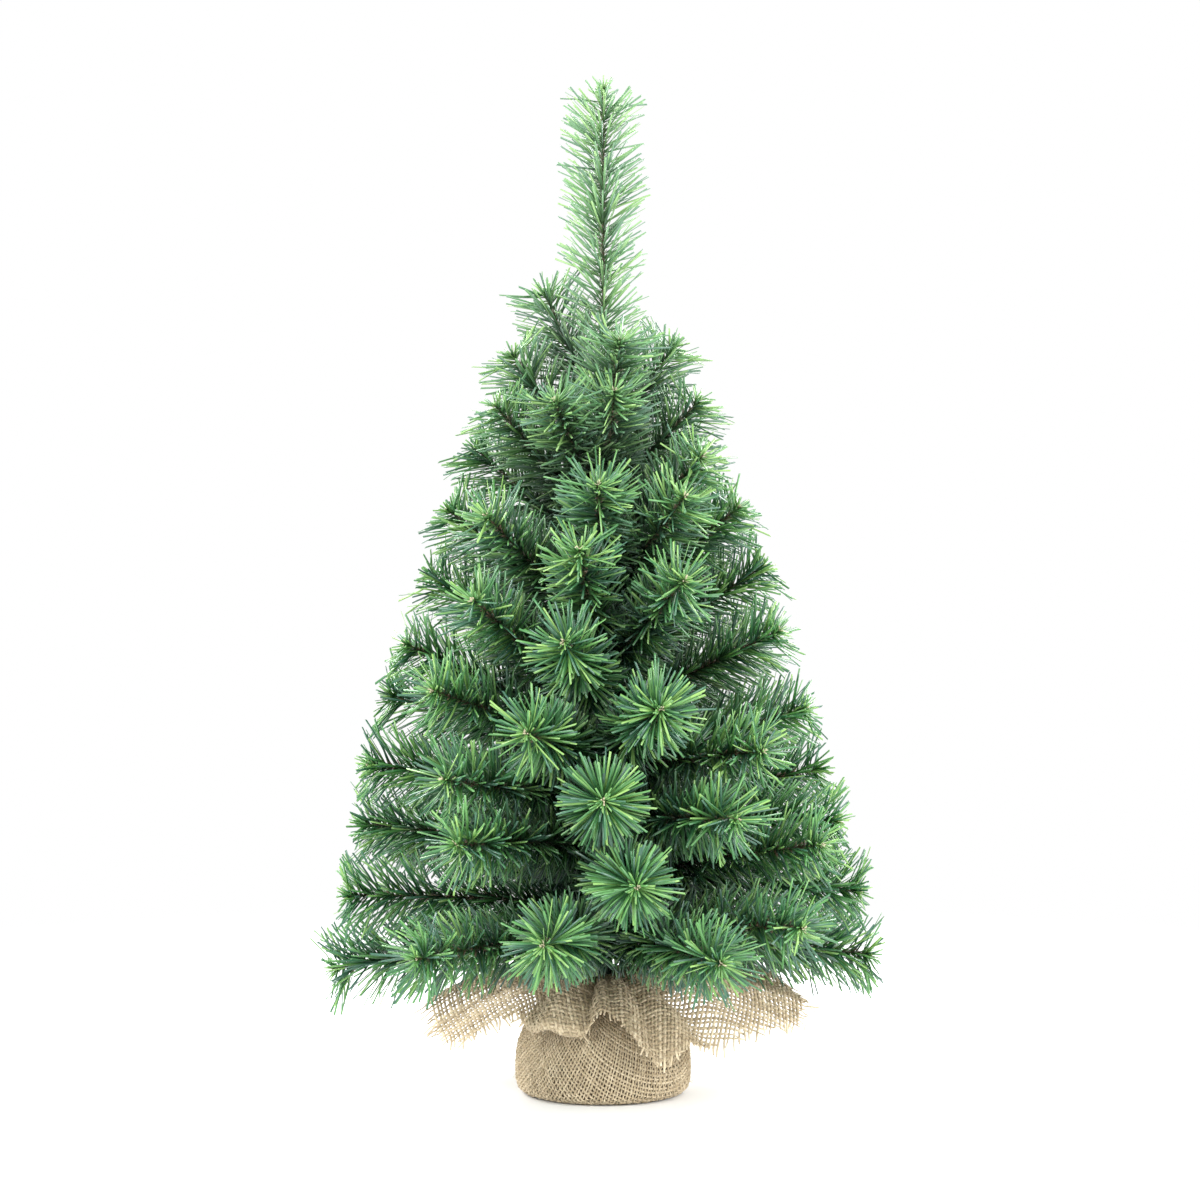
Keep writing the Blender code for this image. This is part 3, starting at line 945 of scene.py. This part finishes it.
    def place(self, a, b):
        """Points of the cloth over flat cloth coordinates, with its rolled edge."""
        distance = np.hypot(a, b)
        azimuth = np.arctan2(a, -b)
        roll = self.rolled(azimuth)
        flat = np.minimum(distance, self.rim(azimuth) - self.ROLL_LENGTH * roll)
        flat = np.where(roll > 0, flat, distance)
        radius, height = self.section(azimuth, flat)
        before_radius, before_height = self.section(azimuth, flat - self.STEP)
        slope = unit(np.stack((radius - before_radius, height - before_height), axis=-1))
        angle = (distance - flat) / self.ROLL_RADIUS
        ahead = self.ROLL_RADIUS * np.sin(angle)
        under = self.ROLL_RADIUS * (1 - np.cos(angle))
        radius = radius + slope[..., 0] * ahead + slope[..., 1] * under
        height = height + slope[..., 1] * ahead - slope[..., 0] * under
        return around_axis(radius, azimuth, height)

    def section(self, azimuth, distance):
        """Radius and height of the folded cloth."""
        radius = self.lookup(self.radii, azimuth, distance)
        height = self.lookup(self.heights, azimuth, distance)
        spread = ease(distance, SKIRT_START, self.FOLDS_FULL)
        height = height + wrinkles(azimuth, self.FOLDS) * self.FOLD_HEIGHT * spread
        spread = ease(distance, SKIRT_START, self.FRONT_FOLDS_FULL)
        for centre, width, rise in self.FRONT_FOLDS:
            fold = swell(azimuth, centre, width) * spread
            height = height + 0.7 * rise * MM * fold
            radius = radius + 0.5 * rise * MM * fold
        base = np.interp(radius, self.rest_radius, self.rest_height, right=0.0)
        return radius, np.maximum(height, base + self.CLEARANCE) + self.lift


def surface_normals(surface, a, b):
    """Unit normals of a surface over cloth coordinates."""
    step = 0.4 * MM
    first = surface.place(a + step, b) - surface.place(a - step, b)
    second = surface.place(a, b + step) - surface.place(a, b - step)
    return unit(np.cross(first, second))


def runs(keep, shortest):
    """Start and stop of every stretch of True at least as long as shortest."""
    edges = np.flatnonzero(np.diff(np.concatenate(([0], keep.astype(int), [0]))))
    return [(s, e) for s, e in zip(edges[::2], edges[1::2]) if e - s >= shortest]


def weave(surface, reach, inside, rng, grain_deg, width, fibres):
    """Plain weave of separate yarns over a surface, and the loose fibres on them.

    inside says which samples of a yarn are kept and how loose each of them is, from 0 to 1.
    """
    shape = Shape()
    spots = []
    line = np.arange(-reach, reach, YARN_PITCH / SAMPLES_PER_PITCH)
    grain = math.radians(grain_deg)
    for way in (0, 1):
        heading = grain + way * math.pi / 2
        for number in range(-int(reach / YARN_PITCH), int(reach / YARN_PITCH) + 1):
            drift = YARN_DRIFT * np.sin(line / YARN_DRIFT_LENGTH + rng.uniform(0, PHASE_RANGE))
            drift = drift + rng.normal(0, YARN_SPACING_ERROR)
            fixed = number * YARN_PITCH + drift
            u, v = (line, fixed) if way == 0 else (fixed, line)
            a = u * math.cos(grain) - v * math.sin(grain)
            b = u * math.sin(grain) + v * math.cos(grain)
            keep, loose = inside(a, b, heading, rng)
            if not keep.any():
                continue
            centres = surface.place(a, b)
            normals = surface_normals(surface, a, b)
            over = np.cos(math.pi * (line / YARN_PITCH + number + way))
            centres = centres + normals * (YARN_WAVE * over * (1 - loose))[:, None]
            sway = rng.normal(0, FRINGE_SWAY, 3) - FRINGE_SAG * UP
            centres = centres + sway * (FRINGE * loose[:, None] ** 2)
            thick = rng.uniform(0.82, 1.2)
            thick = thick * (1 + 0.14 * np.sin(line / YARN_SLUB_LENGTH + rng.uniform(0, PHASE_RANGE)))
            thick = thick * (1 - (1 - FRAYED_WIDTH) * loose)
            shade = np.clip(rng.normal(0.5, 0.2) + 0.4 * loose, 0, 1)
            for start, stop in runs(keep, 5):
                part = slice(start, stop)
                points = tube_points(
                    centres[part], normals[part],
                    0.5 * width * thick[part], 0.5 * YARN_THICKNESS * thick[part], YARN_SIDES,
                )
                shades = np.repeat(shade[part], YARN_SIDES)
                shape.add(points, tube_faces(stop - start, YARN_SIDES), shade=shades)
                spots.append(np.hstack((centres[part], normals[part])))
    tube_uv(shape, YARN_SIDES)
    spots = np.concatenate(spots)
    spots = spots[spots[:, 2] > 2 * FIBRE_LENGTH]
    return shape, fuzz(spots[rng.integers(0, len(spots), fibres)], rng)


def fuzz(spots, rng):
    """Loose fibres that stand off the yarns. spots holds points with their normals."""
    count = len(spots)
    shape = Shape()
    outward = unit(spots[:, 3:] * rng.choice([-1, 1], (count, 1)) + rng.normal(0, 0.5, (count, 3)))
    along = unit(np.cross(outward, rng.normal(0, 1, (count, 3))))
    lengths = FIBRE_LENGTH * rng.uniform(0.5, 1.5, count)
    sweeps = rng.uniform(15, 70, count)
    widths = np.full(count, FIBRE_WIDTH)
    values = {"shade": rng.uniform(0.5, 1.0, count)}
    add_strips(
        shape, spots[:, :3], along, outward, rng, lengths, widths, sweeps, values, thickness=FIBRE_WIDTH
    )
    del shape.values["along"]
    strip_uv(shape)
    return shape


def add_piece(shape, name, paint, smooth=True):
    """A fixed visual piece on the base."""
    piece = shape.build(name, paint, smooth)
    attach(piece, "root")
    return piece


def build_pot_cover(profile, yarn, layer):
    """Outer woven layer around the base and the closed layer that shows through its holes."""
    reach = profile[-1, 0]
    cover = PotCover(profile, 0.8 * MM)

    def inside(a, b, heading, rng):
        azimuth, distance = cover.polar(a, b)
        covered = (distance < reach - 1 * MM) & (distance > 8 * MM)
        covered &= (azimuth > -math.pi) & (azimuth < math.pi + cover.SEAM_OVERLAP)
        return covered, np.zeros(len(a))

    woven, fibres = weave(
        cover, reach + cover.CONE_START, inside, np.random.default_rng(SEED + 2000),
        POT_GRAIN_DEG, POT_YARN_WIDTH, FIBRES,
    )
    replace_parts(add_piece(woven, "burlap_pot_cover", yarn), "burlap_wrap")
    add_piece(fibres, "burlap_pot_fibres", yarn, smooth=False)
    # the lining's dark browns carry painted shade, seen through the holes of the weave
    add_piece(pot_lining(profile), "burlap_pot_layer", layer)


def pot_lining(profile, rings=44, segments=120):
    """Closed thin sheet just under the woven layer: two sides and the rim between them."""
    azimuth = np.tile(np.arange(segments) * (2 * math.pi / segments) - math.pi, rings)
    distance = np.repeat(np.linspace(1 * MM, profile[-1, 0] - 2 * MM, rings), segments)
    count = rings * segments
    quads, inner_cap, _ = tube_faces(rings, segments)
    uv = np.stack((azimuth / (2 * math.pi), distance / profile[-1, 0]), axis=1)
    outer_side = PotCover(profile, 1.5 * MM).at(azimuth, distance)
    inner_side = PotCover(profile, 1.9 * MM).at(azimuth, distance)
    shape = Shape()
    shape.add(outer_side, [quads[:, ::-1], inner_cap[:, ::-1]], uv=uv)
    shape.add(inner_side, [quads, inner_cap], uv=uv)
    rim = np.arange(segments) + (rings - 1) * segments
    following = np.roll(rim, -1)
    shape.faces.append(np.stack((following, rim, rim + count, following + count), axis=1))
    return shape


def skirt_threads(skirt, least_margin):
    """The rule for the skirt's yarns: near the edge only those that cross it are kept, with ragged ends.

    With a least margin, only the fold-back at the front is kept.
    """

    def inside(a, b, heading, rng):
        margin = skirt.margin(a, b)
        step = 1 * MM
        further = skirt.margin(a + step * math.cos(heading), b + step * math.sin(heading))
        crossing = np.abs(further - margin) / step
        fringe = skirt.fringe(a, b)
        loose = np.clip((fringe - margin) / fringe, 0, 1)
        ends = rng.uniform(-0.28, 0.38) * fringe
        keep = (np.hypot(a, b) > SKIRT_START) & (margin > ends)
        keep &= (margin > fringe * 0.8) | (crossing > 0.6)
        if least_margin:
            azimuth = np.degrees(np.arctan2(a, -b))
            keep &= margin > least_margin
            keep &= (azimuth > FOLD_BACK_DEG[0]) & (azimuth < FOLD_BACK_DEG[1])
        return keep, loose

    return inside


def build_skirt(tree, profile, yarn):
    """The hanging corners: an open layer with frayed edges, doubled where the cloth folds back."""
    for name, lift, least_margin, fibres, seed in (
        ("burlap_skirt", 0.0, 0.0, FIBRES, 3000),
        ("burlap_skirt_fold", -FOLD_BACK_DROP, FOLD_BACK_MARGIN, FOLD_FIBRES, 3001),
    ):
        skirt = Skirt(tree, profile, lift)
        woven, fuzzy = weave(
            skirt, SKIRT_REACH, skirt_threads(skirt, least_margin), np.random.default_rng(SEED + seed),
            SKIRT_GRAIN_DEG, SKIRT_YARN_WIDTH, fibres,
        )
        add_piece(woven, name, yarn)
        add_piece(fuzzy, name + "_fibres", yarn, smooth=False)


def build_neck(layer):
    """Gathered cloth between the base and the skirt, drawn in where the tie sits."""
    low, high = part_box("neck_tie")
    middle = (low.z + high.z) / 2
    neck = high.x - (high.z - low.z) - 0.5 * MM
    segments = 144
    wall = 0.8 * MM
    azimuth = np.arange(segments) * (2 * math.pi / segments)
    folds = np.sin(19 * azimuth) * 0.6 + np.sin(31 * azimuth + 1.0) * 0.4
    # Rows as (rise above the tie's middle, flare beyond the neck)
    rows = (
        (-9.0, 12.0), (-6.0, 6.5), (-3.5, 2.0), (-1.5, 0.2), (1.5, 0.2), (3.0, 1.6), (4.6, 4.4), (5.4, 8.5),
    )
    outside = []
    inside = []
    for rise, flare in rows:
        radius = neck - 1.2 * MM + flare * MM
        depth = (0.8 + 0.08 * flare) * MM
        for rings, inset in ((outside, 0.0), (inside, wall)):
            height = np.full(segments, middle + rise * MM)
            rings.append(around_axis(radius + folds * depth - inset, azimuth, height))
    rings = np.array(outside + inside[::-1])
    count = len(rings)
    quads, _, _ = tube_faces(count, segments)
    closing, _, _ = tube_faces(2, segments)
    closing = np.where(closing >= segments, closing - segments, closing + (count - 1) * segments)
    uv = np.stack((
        np.tile(azimuth / (2 * math.pi), count), np.repeat(np.linspace(0, 0.2, count), segments)
    ), axis=1)
    shape = Shape()
    shape.add(rings.reshape(-1, 3), [quads, closing], uv=uv)
    # the neck's cloth takes the dark under-layer browns: burlap darkened by painted shade
    add_piece(shape, "burlap_neck", layer)


def build_tie(yarn):
    """Two turns of two-ply twine around the neck."""
    low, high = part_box("neck_tie")
    middle = (low.z + high.z) / 2
    radius = high.x - 0.5 * (high.z - low.z)
    shape = Shape()
    share = np.linspace(0, 1, TWINE_SAMPLES)
    angle = share * TWINE_TURNS * 2 * math.pi
    rise = middle + (share - 0.5) * 3.0 * MM
    outward = around_axis(1.0, angle, np.zeros(TWINE_SAMPLES))
    shade = np.full(TWINE_SAMPLES * TWINE_SIDES, 0.3)
    for ply in (0.0, math.pi):
        twist = angle * TWINE_TWISTS + ply
        centres = outward * (radius + TWINE_PLY_OFFSET * np.cos(twist))[:, None]
        centres[:, 2] = rise + TWINE_PLY_OFFSET * np.sin(twist)
        points = tube_points(centres, outward, TWINE_PLY_RADIUS, TWINE_PLY_RADIUS, TWINE_SIDES)
        shape.add(points, tube_faces(TWINE_SAMPLES, TWINE_SIDES), shade=shade)
    tube_uv(shape, TWINE_SIDES)
    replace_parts(add_piece(shape, "neck_twine", yarn), "neck_tie")


# ---- trunk and base


def build_trunk(tape):
    """Wound tape: a sleeve whose radius steps at every turn of the tape."""
    low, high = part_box("trunk_tape")
    bottom_radius = high.x
    top_radius = 0.7 * bottom_radius
    rows = int((high.z - low.z) / TAPE_STEP)
    angle = np.arange(TAPE_SIDES) * (2 * math.pi / TAPE_SIDES)
    rings = []
    for height in np.linspace(low.z, high.z, rows):
        share = (height - low.z) / (high.z - low.z)
        radius = bottom_radius + (top_radius - bottom_radius) * share
        phase = ((height - low.z) / TAPE_TURN + angle / (2 * math.pi)) % 1.0
        r = radius - TAPE_THICKNESS * phase
        rings.append(np.stack((r * np.cos(angle), r * np.sin(angle), np.full(TAPE_SIDES, height)), axis=1))
    shape = Shape()
    shape.add(np.concatenate(rings), tube_faces(rows, TAPE_SIDES))
    tube_uv(shape, TAPE_SIDES)
    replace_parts(add_piece(shape, "trunk_wound_tape", tape), "trunk_tape")


def paint_node(name, paint):
    """Gives a CAD piece that stays in view its finish."""
    for slot in frame["nodes"][name].material_slots:
        slot.material = paint


# ---- studio


def aim(item, target):
    """Turns a light or the camera towards a point."""
    item.rotation_euler = (Vector(target) - item.location).to_track_quat("-Z", "Y").to_euler()


def area_light(name, place, size, power):
    """A square soft light that shines at the tree."""
    lamp = bpy.data.lights.new(name, "AREA")
    lamp.size = size
    lamp.energy = power
    item = new_object(name, lamp)
    item.location = place
    aim(item, LIGHTS_AIM)


def build_studio():
    """Pale floor, white surroundings and large soft lights."""
    mesh = bpy.data.meshes.new("studio_floor")
    corners = [(-1, -1), (1, -1), (1, 1), (-1, 1)]
    points = [(x * FLOOR_HALF, y * FLOOR_HALF, FLOOR_DROP) for x, y in corners]
    mesh.from_pydata(points, [], [(0, 1, 2, 3)])
    mesh.materials.append(floor_material())
    new_object("studio_floor", mesh)

    world = bpy.data.worlds.new("studio_world")
    world.use_nodes = True
    background = world.node_tree.nodes["Background"]
    background.inputs["Color"].default_value = (*WHITE, 1.0)
    background.inputs["Strength"].default_value = 1.0
    bpy.context.scene.world = world

    for name, place, size, power in LIGHTS:
        area_light(name, place, size, power)
    bpy.context.scene.view_settings.view_transform = "Standard"


def build_camera():
    """Level camera at the middle of the tree's height, far enough for a near-flat view."""
    height = CAD_BOX[1][2] - CAD_BOX[0][2]
    lens = bpy.data.cameras.new("camera")
    lens.sensor_width = CAMERA_SENSOR
    lens.lens = lens.sensor_width * CAMERA_DISTANCE / (FRAME_WIDTH * height)
    camera = new_object("camera", lens)
    camera.location = (CAMERA_SIDE * height, -CAMERA_DISTANCE, CAMERA_HEIGHT * height)
    aim(camera, (CAMERA_SIDE * height, 0.0, CAMERA_AIM_HEIGHT * height))
    bpy.context.scene.camera = camera


def main():
    """Builds every visible piece, then the studio around them."""
    needles = needle_material()
    wire = wire_material()
    yarn = yarn_material("jute_yarn", tint=(1.08, 1.06, 0.98))
    skirt_yarn = yarn_material("jute_skirt_yarn", tint=(1.08, 1.05, 0.96))
    twine = yarn_material("jute_twine", tint=(0.8, 0.8, 0.8))
    layer = painted_shade_sheet_material()
    build_branches(needles, wire)
    build_leader(needles, wire)
    burlap = cad_tree("burlap_wrap")
    profile = pot_profile(burlap)
    build_pot_cover(profile, yarn, layer)
    build_skirt(burlap, profile, skirt_yarn)
    build_neck(layer)
    build_tie(twine)
    build_trunk(tape_material())
    paint_node("base_weight", cement_material())
    paint_node("base_cup", cup_material())
    paint_node("trunk_rod", steel_material())
    build_studio()
    build_camera()


main()
